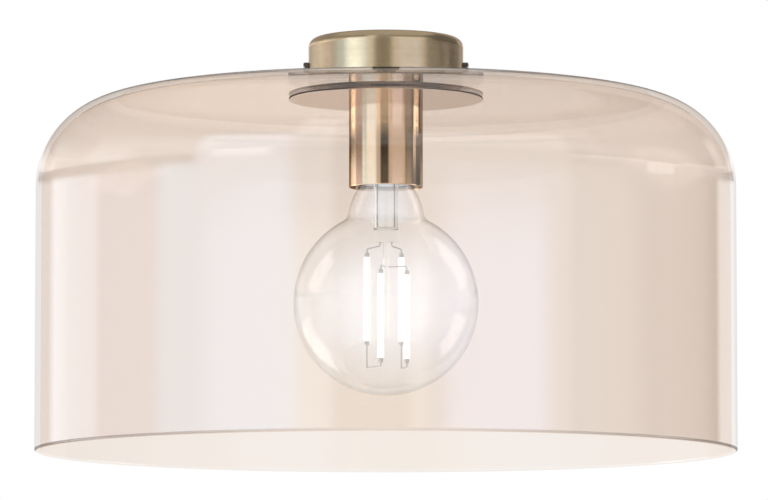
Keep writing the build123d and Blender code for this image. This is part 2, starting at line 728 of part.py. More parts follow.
def bulb_stem():
    """The glass stem: a flared tube, the pinch that seals the wires and the centre rod."""
    flare_r, flare_low, pinch_top, foot = stem_levels()
    stem_r = STEM_DIA / 2
    flare = (flare_r, flare_low)
    bend = flare_r - stem_r
    tube = outline(
        arc(flare, bend, 0, -90),
        line((stem_r, pinch_top), (stem_r - STEM_GLASS, pinch_top)),
        arc(flare, bend + STEM_GLASS, -90, 0),
    )
    pinch = block(-stem_r, stem_r, -PINCH_THICK / 2, PINCH_THICK / 2, foot, pinch_top + STEM_GLASS)
    pinch = fillet(pinch.edges().filter_by(Axis.Z), PINCH_EDGE_R)
    pinch += rod(stem_r, pinch_top, pinch_top + STEM_GLASS)
    return tube + pinch + rod(ROD_DIA / 2, foot - ROD_LENGTH, foot)


def filament_place(angle):
    """The place of a filament on the ring, from its angle."""
    turn = radians(angle)
    return FILAMENT_RING_DIA / 2 * cos(turn), FILAMENT_RING_DIA / 2 * sin(turn)


def filament_top(stagger):
    """The top level of the upper or lower pair of filaments."""
    return stem_levels()[3] - FILAMENT_DROP - stagger


def led_filaments():
    """Four coated sticks in two pairs, the lower pair nearer the front."""
    sticks = []
    for angles, stagger in ((UPPER_FILAMENT_ANGLES, 0), (LOWER_FILAMENT_ANGLES, FILAMENT_STAGGER)):
        top = filament_top(stagger)
        for angle in angles:
            stick = rod(FILAMENT_DIA / 2, top - FILAMENT_LENGTH, top, *filament_place(angle))
            sticks.append(stick.solid())
    return Compound(sticks)


def bulb_wires():
    """Wires from pinch to upper pair, between the pairs, from rod to lower pair, and to the cap."""
    pinch_top, foot = stem_levels()[2:]
    wire_r = WIRE_DIA / 2
    high, low = filament_top(0), filament_top(FILAMENT_STAGGER)
    link = low - FILAMENT_LENGTH - WIRE_TAIL
    wires = []
    for side, upper, lower in zip((-1, 1), UPPER_FILAMENT_ANGLES, LOWER_FILAMENT_ANGLES):
        ux, uy = filament_place(upper)
        lx, ly = filament_place(lower)
        start = side * PINCH_WIRE_X
        lead = [(start, 0, foot), (start, 0, foot - WIRE_TAIL), (ux, uy, high + WIRE_TAIL), (ux, uy, high)]
        upper_foot = high - FILAMENT_LENGTH
        foot_link = [(ux, uy, upper_foot), (ux, uy, link), (lx, ly, link), (lx, ly, link + WIRE_TAIL)]
        reach = (ROD_DIA / 2 + SEAT_FIT) / (FILAMENT_RING_DIA / 2)
        arm = [(lx * reach, ly * reach, low + WIRE_TAIL), (lx, ly, low + WIRE_TAIL), (lx, ly, low)]
        for number, route in enumerate((lead, foot_link, arm)):
            wire = bent_wire(f"bulb_wires {side} {number}", wire_r, route, [WIRE_BEND_R] * (len(route) - 2))
            wires.append(wire.solid())
        tail_low = pinch_top + STEM_GLASS
        wires.append(rod(wire_r, tail_low, board_top - BOARD_THICK, side * STEM_WIRE_X).solid())
    wires.append(rod(wire_r, board_top - BOARD_THICK, tip_low).solid())
    return Compound(wires)


PIECES = {
    "ceiling_bracket": ceiling_bracket,
    "canopy": canopy,
    "canopy_screws": canopy_screws,
    "earth_screw": earth_screw,
    "earth_washer": earth_washer,
    "earth_tag": earth_tag,
    "terminal_block": terminal_block,
    "terminal_sleeves": terminal_sleeves,
    "terminal_screws": terminal_screws,
    "terminal_fixings": terminal_fixings,
    "live_lead": lambda: supply_lead("live_lead", pole_x[0], -1),
    "neutral_lead": lambda: supply_lead("neutral_lead", pole_x[1], 1),
    "earth_lead": earth_lead,
    "threaded_tube": threaded_tube,
    "tube_nut": lambda: hex_nut(NUT_HEIGHT, nut_low),
    "lock_washer": lambda: toothed_washer(LOCK_WASHER_DIA / 2, tube_hole_r, floor_top, LOCK_WASHER_THICK),
    "upper_gasket": lambda: ring(GASKET_DIA / 2, tube_hole_r, apex, canopy_low),
    "glass_shade": glass_shade,
    "glass_bush": lambda: ring(bush_r, TUBE_DIA / 2 + LOOSE_FIT, gasket_top, apex),
    "lower_gasket": lambda: ring(GASKET_DIA / 2, tube_hole_r, disc_top, gasket_top),
    "clamp_disc": clamp_disc,
    "holder_cup": holder_cup,
    "clamp_nut": lambda: hex_nut(CLAMP_NUT_HEIGHT, holder_top),
    "holder_cap": holder_cap,
    "holder_insert": holder_insert,
    "holder_skirt": holder_skirt,
    "contact_block": contact_block,
    "holder_terminals": holder_terminals,
    "holder_screws": holder_screws,
    "screw_shell": screw_shell,
    "centre_contact": centre_contact,
    "bulb_glass": bulb_glass,
    "bulb_cap": bulb_cap,
    "bulb_insulator": bulb_insulator,
    "bulb_tip": bulb_tip,
    "bulb_driver": bulb_driver,
    "bulb_stem": bulb_stem,
    "bulb_wires": bulb_wires,
    "led_filaments": led_filaments,
}

os.makedirs("parts", exist_ok=True)
for node, make in PIECES.items():
    piece = make()
    piece.label = node
    export_step(piece, f"parts/{node}.step")
print("rim", round(rim, 2), "disc underside", round(cup_top, 2), "cup", round(cup_low, 2))
print("bulb tip", round(tip_top, 2), "globe centre", round(globe_centre, 2))
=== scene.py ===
import logging
import math
from dataclasses import dataclass
from enum import Enum
from typing import Any, Optional, Sequence, Union

import bpy
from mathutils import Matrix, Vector


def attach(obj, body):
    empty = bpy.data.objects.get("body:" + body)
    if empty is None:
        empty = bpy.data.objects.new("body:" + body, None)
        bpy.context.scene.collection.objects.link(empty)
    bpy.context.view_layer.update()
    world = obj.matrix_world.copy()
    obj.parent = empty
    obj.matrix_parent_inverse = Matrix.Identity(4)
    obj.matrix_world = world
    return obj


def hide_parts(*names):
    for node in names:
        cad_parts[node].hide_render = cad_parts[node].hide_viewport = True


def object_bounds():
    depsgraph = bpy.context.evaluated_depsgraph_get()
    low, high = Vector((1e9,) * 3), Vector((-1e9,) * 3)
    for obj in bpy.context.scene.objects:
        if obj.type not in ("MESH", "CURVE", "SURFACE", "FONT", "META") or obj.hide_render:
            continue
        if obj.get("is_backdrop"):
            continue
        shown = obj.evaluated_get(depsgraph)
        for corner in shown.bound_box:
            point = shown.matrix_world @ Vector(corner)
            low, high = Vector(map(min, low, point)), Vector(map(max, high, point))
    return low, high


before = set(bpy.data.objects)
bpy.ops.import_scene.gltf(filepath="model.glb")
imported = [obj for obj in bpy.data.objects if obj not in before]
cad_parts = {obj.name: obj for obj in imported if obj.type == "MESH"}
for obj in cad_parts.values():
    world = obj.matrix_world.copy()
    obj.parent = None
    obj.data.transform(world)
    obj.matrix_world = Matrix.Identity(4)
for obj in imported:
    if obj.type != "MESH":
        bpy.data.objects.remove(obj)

# Dresses a glass ceiling light: a drum-shaped tinted glass shade under a brass canopy, with a polished
# lampholder cup and a clear globe bulb. Sizes are in millimetres in the frame of the part, where the
# ceiling face is at 0 and +Z is up; MM turns them into metres where a mesh or a lamp is made.
LOG = logging.getLogger("ceiling_light")
MM = 0.001
# Factors that turn metres into millimetres, and that keep the level part of a vector.
IN_MM = (1000.0, 1000.0, 1000.0)
LEVEL = (1.0, 1.0, 0.0)
# Blender's wave texture repeats once in this many of its own units.
WAVE_LENGTH = math.tau / 20.0
# How steeply a mirror grows towards a grazing view.
GRAZING = 5.0
Triple = tuple[float, float, float]
Colour = Triple
Point = tuple[float, float]


class Body(Enum):
    """The moving bodies that new pieces ride on."""

    FIXTURE = "fixture"
    BULB = "bulb"


class Axis(Enum):
    """The parts of a vector."""

    X = "X"
    Y = "Y"
    Z = "Z"


class GlassFace(Enum):
    """The faces of the shade with a finish of their own, by the number of the finish."""

    OUTSIDE = 0
    INSIDE = 1
    EDGE = 2
    UNDER_DOME = 3
    OVER_DOME = 4


class Value:
    """A socket of a node; arithmetic on it adds Math nodes."""

    def __init__(self, graph: "Graph", socket: bpy.types.NodeSocket) -> None:
        """Keeps the graph and the socket."""
        self.graph = graph
        self.socket = socket

    def _math(self, operation: str, first: "Number", second: "Number") -> "Value":
        """Adds one Math node to the graph."""
        return self.graph.node("ShaderNodeMath", {"operation": operation}, {0: first, 1: second})

    def __add__(self, other: "Number") -> "Value":
        """Adds a number or a value."""
        return self._math("ADD", self, other)

    def __radd__(self, other: "Number") -> "Value":
        """Adds this value to a number."""
        return self._math("ADD", other, self)

    def __sub__(self, other: "Number") -> "Value":
        """Takes a number or a value away."""
        return self._math("SUBTRACT", self, other)

    def __rsub__(self, other: "Number") -> "Value":
        """Takes this value from a number."""
        return self._math("SUBTRACT", other, self)

    def __mul__(self, other: "Number") -> "Value":
        """Multiplies by a number or a value."""
        return self._math("MULTIPLY", self, other)

    def __rmul__(self, other: "Number") -> "Value":
        """Multiplies a number by this value."""
        return self._math("MULTIPLY", other, self)

    def __pow__(self, other: "Number") -> "Value":
        """Raises to a power."""
        return self._math("POWER", self, other)

    def __rpow__(self, other: "Number") -> "Value":
        """Raises a number to this value."""
        return self._math("POWER", other, self)

    def __abs__(self) -> "Value":
        """Drops the sign."""
        return self.graph.node("ShaderNodeMath", {"operation": "ABSOLUTE"}, {0: self})


Number = Union[Value, float]


class Graph:
    """The node tree of one material or of the world."""

    def __init__(self, owner: Union[bpy.types.Material, bpy.types.World]) -> None:
        """Empties the owner's node tree.

        Args:
            owner: The material or world that the nodes are for.
        """
        owner.use_nodes = True
        self.tree = owner.node_tree
        self.tree.nodes.clear()

    def node(
        self,
        kind: str,
        settings: Optional[dict[str, Any]] = None,
        sockets: Optional[dict[Union[str, int], Any]] = None,
        out: Union[str, int] = 0,
    ) -> Value:
        """Adds a node of any kind.

        Args:
            kind: The node's type name.
            settings: Its properties, set before its sockets.
            sockets: Numbers, colours or values for its input sockets, by name or place.
            out: The output socket that is wanted.

        Returns:
            The wanted output.
        """
        made = self.tree.nodes.new(kind)
        for name, setting in (settings or {}).items():
            setattr(made, name, setting)
        for place, value in (sockets or {}).items():
            if isinstance(value, Value):
                self.tree.links.new(value.socket, made.inputs[place])
            else:
                made.inputs[place].default_value = value
        return Value(self, made.outputs[out])

    def output(self, surface: Value, kind: str = "ShaderNodeOutputMaterial") -> None:
        """Links the finished shader to the output node."""
        made = self.tree.nodes.new(kind)
        self.tree.links.new(surface.socket, made.inputs["Surface"])

    def place(self) -> Value:
        """Gives the place on the piece in millimetres."""
        return self.scaled(self.node("ShaderNodeTexCoord", out="Object"), IN_MM)

    def scaled(self, vector: Value, factors: Triple) -> Value:
        """Multiplies a vector by three factors."""
        return self.node("ShaderNodeVectorMath", {"operation": "MULTIPLY"}, {0: vector, 1: factors})

    def axis(self, vector: Value, axis: Axis) -> Value:
        """Gives one part of a vector."""
        return self.node("ShaderNodeSeparateXYZ", sockets={0: vector}, out=axis.value)

    def joined(self, x: Number, y: Number, z: Number) -> Value:
        """Makes a vector of three values."""
        return self.node("ShaderNodeCombineXYZ", sockets={"X": x, "Y": y, "Z": z})

    def radius(self, vector: Value) -> Value:
        """Gives the distance from the upright axis."""
        flat = self.scaled(vector, LEVEL)
        return self.node("ShaderNodeVectorMath", {"operation": "LENGTH"}, {0: flat}, out="Value")

    def noise(self, vector: Value, per_mm: float, detail: float = 2.0, rough: float = 0.5) -> Value:
        """Adds a noise pattern.

        Args:
            vector: The place in millimetres.
            per_mm: How many blotches to a millimetre.
            detail: Octaves of finer noise.
            rough: Weight of the finer octaves.

        Returns:
            The noise, around a half.
        """
        sockets = {"Vector": vector, "Scale": per_mm, "Detail": detail, "Roughness": rough}
        return self.node("ShaderNodeTexNoise", sockets=sockets, out="Fac")

    def waves(self, vector: Value, pitch: float) -> Value:
        """Adds level bands that repeat upwards at a pitch in millimetres."""
        sockets = {"Vector": vector, "Scale": WAVE_LENGTH / pitch}
        return self.node("ShaderNodeTexWave", {"bands_direction": "Z"}, sockets, out="Fac")

    def fit(self, value: Number, source: Point, target: Point, smooth: bool = False) -> Value:
        """Maps a range of a value to another range and clamps it.

        Args:
            value: What is mapped.
            source: The range it has.
            target: The range it gets.
            smooth: Whether the ends ease in and out.

        Returns:
            The mapped value.
        """
        settings = {"interpolation_type": "SMOOTHSTEP" if smooth else "LINEAR", "clamp": True}
        sockets = {"Value": value, 1: source[0], 2: source[1], 3: target[0], 4: target[1]}
        return self.node("ShaderNodeMapRange", settings, sockets, out="Result")

    def step(self, value: Number, at: float, soft: float) -> Value:
        """Gives a step from nought to one where a value passes a number, softened to both sides."""
        return self.fit(value, (at - soft, at + soft), (0.0, 1.0), True)

    def blend(self, mask: Number, low: Union[Colour, Value], high: Union[Colour, Value]) -> Value:
        """Mixes two colours by a mask."""
        ends = [end if isinstance(end, Value) else (*end, 1.0) for end in (low, high)]
        return self.node("ShaderNodeMix", {"data_type": "RGBA"}, {0: mask, 6: ends[0], 7: ends[1]}, out=2)

    def bump(self, height: Value, strength: float, depth_mm: float) -> Value:
        """Turns a height pattern into a normal."""
        sockets = {"Strength": strength, "Distance": depth_mm * MM, "Height": height}
        return self.node("ShaderNodeBump", sockets=sockets)

    def facing(self, normal: Optional[Value] = None) -> Value:
        """Gives nought where a face is seen straight on, and one where the eye looks along it."""
        sockets = {"Blend": 0.5} if normal is None else {"Blend": 0.5, "Normal": normal}
        return self.node("ShaderNodeLayerWeight", sockets=sockets, out="Facing")

    def outer(self) -> Value:
        """Gives one on the outer side of a face, and nought behind it."""
        return 1.0 - self.node("ShaderNodeNewGeometry", out="Backfacing")

    def principled(self, **sockets: Any) -> Value:
        """Adds the main shader.

        Args:
            sockets: Numbers, colours or values by socket name, with underscores for spaces.

        Returns:
            The shader.
        """
        named = {name.replace("_", " "): value for name, value in sockets.items()}
        for name in ("Base Color", "Emission Color"):
            if isinstance(named.get(name), tuple):
                named[name] = (*named[name], 1.0)
        return self.node("ShaderNodeBsdfPrincipled", sockets=named)

    def mixed(self, mask: Number, low: Value, high: Value) -> Value:
        """Mixes two shaders by a mask."""
        return self.node("ShaderNodeMixShader", sockets={0: mask, 1: low, 2: high})


@dataclass(frozen=True)
class Finish:
    """A surface finish that makes its own material once."""

    name: str

    def material(self) -> bpy.types.Material:
        """Gives the material of this finish, made when it is first asked for.

        Returns:
            The material.
        """
        made = bpy.data.materials.get(self.name)
        if made is None:
            made = bpy.data.materials.new(self.name)
            graph = Graph(made)
            graph.output(self.shade(graph))
        return made

    def shade(self, graph: Graph) -> Value:
        """Builds the shader nodes; each finish has its own."""
        raise NotImplementedError


@dataclass(frozen=True)
class SpunBrass(Finish):
    """Brass turned on a lathe, with fine rings round the axis and a little tarnish."""

    colour: Colour = (0.8, 0.6, 0.38)
    tarnish: Colour = (0.5, 0.36, 0.2)
    tarnish_share: float = 0.3
    rough: float = 0.1
    ring_rough: float = 0.05
    rings_per_mm: float = 6.0
    ring_depth: float = 0.01
    ring_strength: float = 0.1
    edge_tint: Colour = (0.95, 0.9, 0.85)
    wobble: float = 0.6
    wobbles_per_mm: float = 0.02
    bands_per_mm: float = 0.35
    smears_per_mm: float = 0.09
    ring_tint: float = 0.25
    stain_rough: float = 0.06

    def shade(self, graph: Graph) -> Value:
        """Builds the rings, the smears and the tarnish.

        Args:
            graph: The node tree.

        Returns:
            The finished shader.
        """
        place = graph.place()
        wobble = graph.noise(place, self.wobbles_per_mm, 1.0) * self.wobble
        turned = graph.joined(graph.radius(place), graph.axis(place, Axis.Z), wobble)
        rings = graph.noise(turned, self.rings_per_mm, 3.0, 0.65)
        broad = graph.noise(turned, self.bands_per_mm, 2.0)
        smear = graph.noise(place, self.smears_per_mm, 3.0, 0.6)
        stain = graph.fit(smear * 0.7 + broad * 0.3, (0.38, 0.72), (0.0, self.tarnish_share), True)
        return graph.principled(
            Base_Color=graph.blend(stain + (rings - 0.5) * self.ring_tint, self.colour, self.tarnish),
            Metallic=1.0,
            Roughness=self.rough + (rings - 0.5) * self.ring_rough + stain * self.stain_rough,
            Specular_Tint=(*self.edge_tint, 1.0),
            Normal=graph.bump(rings, self.ring_strength, self.ring_depth),
        )


@dataclass(frozen=True)
class EdgedBrass(SpunBrass):
    """Turned brass with painted light on its edge: a painted highlight where it faces the eye, painted shade
    aslant.
    """

    # Colours of the painted highlight and the painted shade on the edge, and the facing over which one turns
    # into the other.
    edge_painted_highlight: Colour = (0.42, 0.26, 0.14)
    edge_painted_shade: Colour = (0.03, 0.008, 0.001)
    edge_rough: float = 0.6
    edge_turn: Point = (0.01, 0.1)
    edge_lean: Point = (0.3, 0.5)

    def shade(self, graph: Graph) -> Value:
        """Builds the turned face and the edge round it, with the edge's painted highlight and painted shade.

        Args:
            graph: The node tree.

        Returns:
            The finished shader.
        """
        # Painted highlight where the edge is seen straight on, fading to near-black painted shade as it is
        # seen aslant.
        dark = graph.fit(graph.facing(), self.edge_turn, (0.0, 1.0), True)
        edge = graph.principled(
            Base_Color=graph.blend(dark, self.edge_painted_highlight, self.edge_painted_shade),
            Roughness=self.edge_rough,
            Specular_IOR_Level=0.0,
        )
        upright = graph.axis(graph.node("ShaderNodeNewGeometry", out="Normal"), Axis.Z)
        side = graph.fit(upright * upright, self.edge_lean, (1.0, 0.0), True)
        return graph.mixed(side, super().shade(graph), edge)


@dataclass(frozen=True)
class PlatedMetal(Finish):
    """Plain or plated metal with dull blotches and fine scratches; a pitch above 0 gives it a thread."""

    colour: Colour = (0.62, 0.63, 0.65)
    dull: Colour = (0.45, 0.46, 0.47)
    rough: float = 0.3
    blotch_per_mm: float = 0.5
    pitch: float = 0.0
    blotch_rough: float = 0.25
    scratch_stretch: Triple = (0.15, 1.0, 4.0)
    scratch_per_mm: float = 2.0
    thread_height: float = 4.0
    thread_scratch: float = 0.2
    relief: float = 0.25
    relief_depth: float = 0.03

    def shade(self, graph: Graph) -> Value:
        """Builds the blotches, the scratches and the thread.

        Args:
            graph: The node tree.

        Returns:
            The finished shader.
        """
        place = graph.place()
        sockets = {"Vector": place, "Scale": self.blotch_per_mm}
        spangle = graph.axis(graph.node("ShaderNodeTexVoronoi", sockets=sockets, out="Color"), Axis.X)
        blotch = graph.noise(place, self.blotch_per_mm * 0.4, 3.0, 0.6) * 0.7 + spangle * 0.3
        height = graph.noise(graph.scaled(place, self.scratch_stretch), self.scratch_per_mm, 4.0, 0.7)
        if self.pitch > 0:
            thread = graph.waves(place, self.pitch) * self.thread_height
            height = thread + height * self.thread_scratch
        return graph.principled(
            Base_Color=graph.blend(graph.fit(blotch, (0.3, 0.7), (0.0, 1.0)), self.colour, self.dull),
            Metallic=1.0,
            Roughness=self.rough + (blotch - 0.5) * self.blotch_rough,
            Normal=graph.bump(height, self.relief, self.relief_depth),
        )


@dataclass(frozen=True)
class Moulded(Finish):
    """Moulded plastic, rubber or paint with a fine grain and a faint mottle."""

    colour: Colour = (0.8, 0.8, 0.78)
    mottle: Colour = (0.7, 0.7, 0.67)
    rough: float = 0.4
    grain_per_mm: float = 5.0
    grain: float = 0.12
    grain_depth: float = 0.02
    grain_rough: float = 0.15
    clouds_per_mm: float = 0.25

    def tint(self, graph: Graph, place: Value) -> Value:
        """Gives the colour pattern."""
        clouds = graph.noise(place, self.clouds_per_mm, 4.0, 0.6)
        return graph.blend(graph.fit(clouds, (0.35, 0.7), (0.0, 1.0)), self.colour, self.mottle)

    def shade(self, graph: Graph) -> Value:
        """Builds the mottle and the grain.

        Args:
            graph: The node tree.

        Returns:
            The finished shader.
        """
        place = graph.place()
        grain = graph.noise(place, self.grain_per_mm, 2.0)
        return graph.principled(
            Base_Color=self.tint(graph, place),
            Roughness=self.rough + (grain - 0.5) * self.grain_rough,
            Normal=graph.bump(grain, self.grain, self.grain_depth),
        )


@dataclass(frozen=True)
class StripedInsulation(Moulded):
    """Insulation with a stripe of another colour along the lead."""

    stripe: Colour = (0.85, 0.7, 0.05)
    stripe_x: float = 10.0
    stripe_half: float = 0.5
    blur: float = 0.05

    def tint(self, graph: Graph, place: Value) -> Value:
        """Gives the ground colour with its stripe.

        Args:
            graph: The node tree.
            place: The place on the piece in millimetres.

        Returns:
            The colour.
        """
        ground = super().tint(graph, place)
        off = abs(graph.axis(place, Axis.X) - self.stripe_x)
        mask = graph.fit(off, (self.stripe_half - self.blur, self.stripe_half + self.blur), (1.0, 0.0))
        return graph.blend(mask, ground, self.stripe)


@dataclass(frozen=True)
class CircuitBoard(Moulded):
    """Green lacquered board with copper tracks, and the dark part that stands on it."""

    track: Colour = (0.1, 0.36, 0.18)
    part: Colour = (0.03, 0.03, 0.035)
    board_top: float = -64.072
    board_low: float = -65.272
    board_skin: Point = (0.01, 0.03)
    tracks_per_mm: float = 0.35
    track_width: Point = (0.05, 0.1)

    def tint(self, graph: Graph, place: Value) -> Value:
        """Gives the lacquer, the tracks and the dark part.

        Args:
            graph: The node tree.
            place: The place on the piece in millimetres.

        Returns:
            The colour.
        """
        lacquer = super().tint(graph, place)
        cells = {"Vector": place, "Scale": self.tracks_per_mm}
        edge = graph.node("ShaderNodeTexVoronoi", {"feature": "DISTANCE_TO_EDGE"}, cells, out="Distance")
        tracks = graph.blend(graph.fit(edge, self.track_width, (1.0, 0.0)), lacquer, self.track)
        level = graph.axis(place, Axis.Z)
        middle = (self.board_top + self.board_low) / 2
        half = (self.board_top - self.board_low) / 2
        skin = (half + self.board_skin[0], half + self.board_skin[1])
        above = graph.fit(abs(level - middle), skin, (0.0, 1.0))
        return graph.blend(above, tracks, self.part)


@dataclass(frozen=True)
class ThinGlass(Finish):
    """One face of a glass wall.

    It tints what is behind it and mirrors on its air side, or on both sides, more so when it is seen
    aslant. A face with a glow gets a painted glow: it gives off light though it is no lamp, most where it
    is seen straight on.
    """

    tint: Colour = (0.97, 0.94, 0.91)
    aslant: Colour = (0.96, 0.92, 0.88)
    mirror: float = 0.04
    mirror_aslant: float = 1.0
    ripple: float = 0.0
    rim: float = 2.0
    glow: float = 0.0
    both_sides: bool = False
    rough: float = 0.0
    ripple_per_mm: float = 0.03
    # The colour, strength and spread of the painted glow, given off by glass that is no lamp.
    painted_glow_colour: Colour = (0.82, 0.88, 1.0)
    painted_glow_strength: float = 1.52
    painted_glow_edge: float = 0.18
    painted_glow_fall: float = 4.0

    def through(self, graph: Graph, facing: Value) -> Value:
        """Gives the clear part of the face, tinted more when it is seen aslant.

        Args:
            graph: The node tree.
            facing: Nought where the face is seen straight on and one at its edge.

        Returns:
            The clear shader.
        """
        front = graph.node("ShaderNodeBsdfTransparent", sockets={"Color": (*self.tint, 1.0)})
        side = graph.node("ShaderNodeBsdfTransparent", sockets={"Color": (*self.aslant, 1.0)})
        return graph.mixed(facing**self.rim, front, side)

    def shade(self, graph: Graph) -> Value:
        """Builds the tint, the mirror and the ripple of the glass, and any painted glow.

        Args:
            graph: The node tree.

        Returns:
            The finished shader.
        """
        normal = graph.bump(graph.noise(graph.place(), self.ripple_per_mm, 1.0), self.ripple, 1.0)
        facing = graph.facing()
        gloss = graph.node("ShaderNodeBsdfAnisotropic", sockets={"Roughness": self.rough, "Normal": normal})
        mirror = self.mirror + (self.mirror_aslant - self.mirror) * facing**GRAZING
        if not self.both_sides:
            mirror = mirror * graph.outer()
        glass = graph.mixed(mirror, self.through(graph, facing), gloss)
        if self.glow == 0:
            return glass
        # Painted glow: emission mixed into the glass, strongest where the face is seen straight on.
        sockets = {"Color": (*self.painted_glow_colour, 1.0), "Strength": self.painted_glow_strength}
        lit = graph.node("ShaderNodeEmission", sockets=sockets)
        share = self.painted_glow_edge + (1.0 - self.painted_glow_edge) * (1.0 - facing) ** self.painted_glow_fall
        return graph.mixed(self.glow * share, glass, lit)


@dataclass(frozen=True)
class RimGlass(ThinGlass):
    """The outer edge of a glass rim: painted shade on its near side, darker the more the eye looks along the
    wall.
    """

    def through(self, graph: Graph, facing: Value) -> Value:
        """Gives the clear part of the edge, darkened with painted shade by how far round the rim it is.

        Args:
            graph: The node tree.
            facing: Not used here, since the edge is rounded.

        Returns:
            The clear shader.
        """
        normal = graph.scaled(graph.node("ShaderNodeNewGeometry", out="Normal"), LEVEL)
        level = graph.node("ShaderNodeVectorMath", {"operation": "NORMALIZE"}, {0: normal}, "Vector")
        return super().through(graph, graph.outer() * graph.facing(level))


@dataclass(frozen=True)
class SolidGlass(Finish):
    """Solid clear glass that bends what is behind it, with faint drawing lines."""

    colour: Colour = (0.97, 0.98, 0.97)
    bending: float = 1.5
    line_stretch: Triple = (1.0, 1.0, 0.05)
    lines_per_mm: float = 1.2
    line_rough: float = 0.06
    line_relief: float = 0.05

    def shade(self, graph: Graph) -> Value:
        """Builds the glass and its drawing lines.

        Args:
            graph: The node tree.

        Returns:
            The finished shader.
        """
        lines = graph.noise(graph.scaled(graph.place(), self.line_stretch), self.lines_per_mm, 2.0)
        return graph.principled(
            Base_Color=self.colour,
            Roughness=graph.fit(lines, (0.4, 0.8), (0.0, self.line_rough)),
            IOR=self.bending,
            Transmission_Weight=1.0,
            Normal=graph.bump(lines, self.line_relief, self.line_relief),
        )


@dataclass(frozen=True)
class LitPhosphor(Finish):
    """The glowing coat of a filament, with its row of chips faintly brighter."""

    coat: Colour = (0.95, 0.9, 0.75)
    glow: Colour = (1.0, 0.97, 0.9)
    dim: Colour = (0.93, 0.88, 0.76)
    chip_pitch: float = 1.6
    strength: float = 1.4
    rough: float = 0.45
    grain_rough: float = 0.2
    grain_per_mm: float = 3.0

    def shade(self, graph: Graph) -> Value:
        """Builds the coat and the row of chips.

        Args:
            graph: The node tree.

        Returns:
            The finished shader.
        """
        place = graph.place()
        chips = graph.waves(place, self.chip_pitch)
        grain = graph.noise(place, self.grain_per_mm, 3.0)
        return graph.principled(
            Base_Color=graph.blend(grain, self.coat, self.dim),
            Roughness=self.rough + (grain - 0.5) * self.grain_rough,
            Emission_Color=graph.blend(chips, self.dim, self.glow),
            Emission_Strength=self.strength,
        )


@dataclass(frozen=True)
class PaleFloor(Finish):
    """A plain pale floor that is clear from below."""

    colour: Colour = (0.9, 0.9, 0.89)
    cloud: float = 0.97
    clouds_per_mm: float = 0.002
    rough: float = 0.8

    def shade(self, graph: Graph) -> Value:
        """Builds the pale ground and its clear underside.

        Args:
            graph: The node tree.

        Returns:
            The finished shader.
        """
        clouds = graph.noise(graph.place(), self.clouds_per_mm, 3.0)
        pale = graph.principled(
            Base_Color=graph.blend(clouds, self.colour, tuple(part * self.cloud for part in self.colour)),
            Roughness=self.rough,
        )
        clear = graph.node("ShaderNodeBsdfTransparent")
        below = graph.node("ShaderNodeNewGeometry", out="Backfacing")
        return graph.mixed(below, pale, clear)


def arc(centre: Point, radius: float, start: float, end: float, count: int) -> list[Point]:
    """Gives points on an arc.

    Args:
        centre: Radius and level of its centre.
        radius: Its radius.
        start: First angle in degrees from straight up, growing outwards.
        end: Last angle.
        count: How many steps.

    Returns:
        The points, both ends included.
    """
    turns = [math.radians(start + (end - start) * step / count) for step in range(count + 1)]
    return [(centre[0] + radius * math.sin(turn), centre[1] + radius * math.cos(turn)) for turn in turns]


def lathe(
    points: Sequence[Point], segments: int, at: Point = (0.0, 0.0)
) -> tuple[list[Vector], list[list[int]]]:
    """Turns a closed outline round an upright axis.

    Args:
        points: Radius and level of each point of the outline, in order.
        segments: Steps round the axis.
        at: The place of the axis.

    Returns:
        The vertices in metres and the faces; each ring of faces has the number of outline points.
    """
    count = len(points)
    vertices = []
    for step in range(segments):
        turn = math.tau * step / segments
        across, along = math.cos(turn), math.sin(turn)
        vertices += [Vector((at[0] + r * across, at[1] + r * along, z)) * MM for r, z in points]
    faces = []
    for step in range(segments):
        here, there = step * count, (step + 1) % segments * count
        for low in range(count):
            high = (low + 1) % count
            faces.append([here + low, here + high, there + high, there + low])
    return vertices, faces


class Piece:
    """A new mesh piece that stands for one CAD node."""

    def __init__(self, name: str, node: str, slot: str, body: Body) -> None:
        """Keeps the names; the mesh is filled by add and shown by finish.

        Args:
            name: The name of the piece.
            node: The CAD node that it stands for.
            slot: The name of its material slot, kept but not used.
            body: The body that it rides on.
        """
        self.name, self.node, self.slot, self.body = name, node, slot, body
        self.vertices: list[Vector] = []
        self.faces: list[list[int]] = []
        self.marks: list[int] = []

    def add(self, vertices: Sequence[Vector], faces: Sequence[Sequence[int]], marks: Sequence[int]) -> None:
        """Adds a closed shell.

        Args:
            vertices: Its corners in metres.
            faces: The corners of each face.
            marks: The finish number of each face.
        """
        start = len(self.vertices)
        self.vertices += vertices
        self.faces += [[start + corner for corner in face] for face in faces]
        self.marks += marks

    def finish(self, finishes: Sequence[Finish], crease: float = 40.0) -> bpy.types.Object:
        """Makes the object, dresses it and ties it to the frame.

        Args:
            finishes: The finishes that the marks number.
            crease: The angle in degrees above which an edge stays sharp.

        Returns:
            The finished object.
        """
        mesh = bpy.data.meshes.new(self.name)
        mesh.from_pydata(self.vertices, [], self.faces)
        mesh.polygons.foreach_set("material_index", self.marks)
        mesh.polygons.foreach_set("use_smooth", [True] * len(self.faces))
        mesh.set_sharp_from_angle(angle=math.radians(crease))
        for finish in finishes:
            mesh.materials.append(finish.material())
        made = bpy.data.objects.new(self.name, mesh)
        bpy.context.scene.collection.objects.link(made)
        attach(made, self.body.value)
        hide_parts(self.node)
        LOG.info("%s stands for %s on %s", self.name, self.node, self.body.value)
        return made


def dress(finishes: dict[str, Finish]) -> None:
    """Gives CAD nodes that stay in view their finishes.

    Args:
        finishes: The finishes by node name.
    """
    for node, finish in finishes.items():
        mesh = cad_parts[node].data
        mesh.materials.clear()
        mesh.materials.append(finish.material())
        LOG.info("%s keeps its shape, with %s", node, finish.name)


